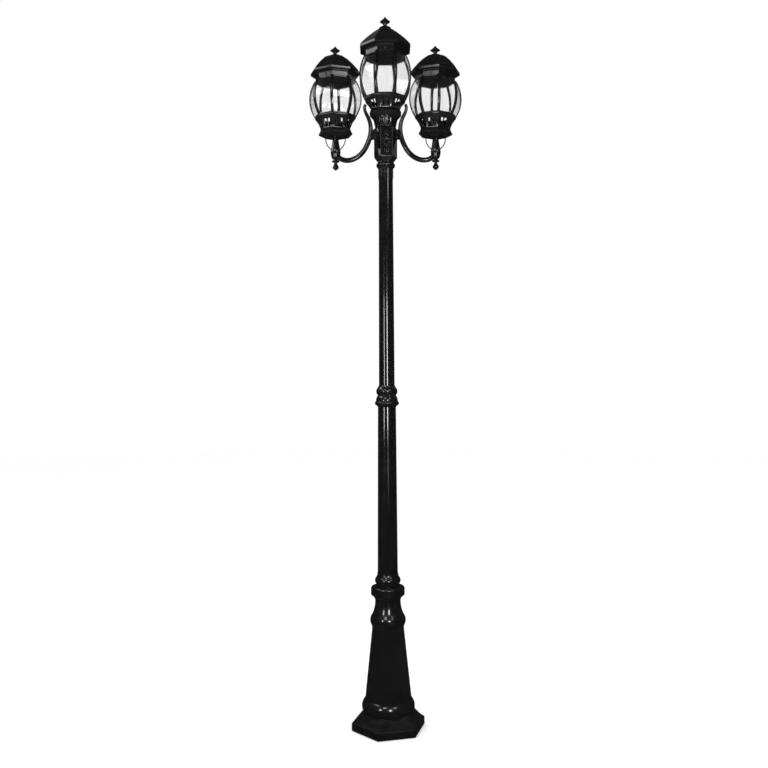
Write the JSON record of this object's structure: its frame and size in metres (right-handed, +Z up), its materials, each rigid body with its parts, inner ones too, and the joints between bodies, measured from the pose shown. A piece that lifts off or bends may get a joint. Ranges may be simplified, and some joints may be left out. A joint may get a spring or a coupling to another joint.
{
  "type": "garden lamp post",
  "caption": "Gloss black cast metal garden lamp post with a hexagonal pedestal base, a tapered post and octagonal glass lanterns on bowed side arms and on its top.",
  "frame": {"origin": "on the ground, on the axis of the post", "axes": "+Z up, -Y is the front, +X to the right seen from the front"},
  "size_m": [0.5166, 0.2442, 2.3996],
  "materials": {
    "black_casting": "gloss black powder coat on cast aluminium",
    "black_post": "gloss black powder coat on drawn tube",
    "glass": "clear bent glass",
    "lampholder_plastic": "black moulded plastic",
    "plated_steel": "zinc plated steel",
    "screw_steel": "blackened steel",
    "plate_steel": "galvanised steel"
  },
  "bodies": {
    "post": {"arm_left": "black_casting", "arm_nipples": "plated_steel", "arm_nuts": "plated_steel", "arm_right": "black_casting", "base_casting": "black_casting", "base_screws": "screw_steel", "basket_left": "black_casting", "basket_right": "black_casting", "basket_top": "black_casting", "braces_left": "black_casting", "braces_right": "black_casting", "cage_left": "black_casting", "cage_right": "black_casting", "cage_top": "black_casting", "collar_screw": "screw_steel", "drop_finial_left": "black_casting", "drop_finial_right": "black_casting", "ferrule_screw": "screw_steel", "fluted_neck": "black_casting", "foot_ring": "black_casting", "ground_plate": "plate_steel", "hub_casting": "black_casting", "joint_screws": "screw_steel", "lampholder_left": "lampholder_plastic", "lampholder_right": "lampholder_plastic", "lampholder_top": "lampholder_plastic", "lower_post": "black_post", "mid_joint": "black_casting", "nipple_left": "plated_steel", "nipple_right": "plated_steel", "nipple_top": "plated_steel", "panes_left": "glass", "panes_right": "glass", "panes_top": "glass", "post_ferrule": "black_casting", "stem_left": "black_casting", "stem_right": "black_casting", "tray_left": "black_casting", "tray_right": "black_casting", "tray_top": "black_casting", "upper_post": "black_post"},
    "lid_left": {"roof_left": "black_casting", "finial_left": "black_casting", "roof_screws_left": "screw_steel"},
    "lid_top": {"roof_top": "black_casting", "finial_top": "black_casting", "roof_screws_top": "screw_steel"},
    "lid_right": {"roof_right": "black_casting", "finial_right": "black_casting", "roof_screws_right": "screw_steel"}
  },
  "joints": [
    {"name": "roof_lift_left", "type": "slide", "parent": "post", "child": "lid_left", "axis": [0, 0, 1], "range_m": [0, 0.08]},
    {"name": "roof_lift_top", "type": "slide", "parent": "post", "child": "lid_top", "axis": [0, 0, 1], "range_m": [0, 0.08]},
    {"name": "roof_lift_right", "type": "slide", "parent": "post", "child": "lid_right", "axis": [0, 0, 1], "range_m": [0, 0.08]}
  ]
}
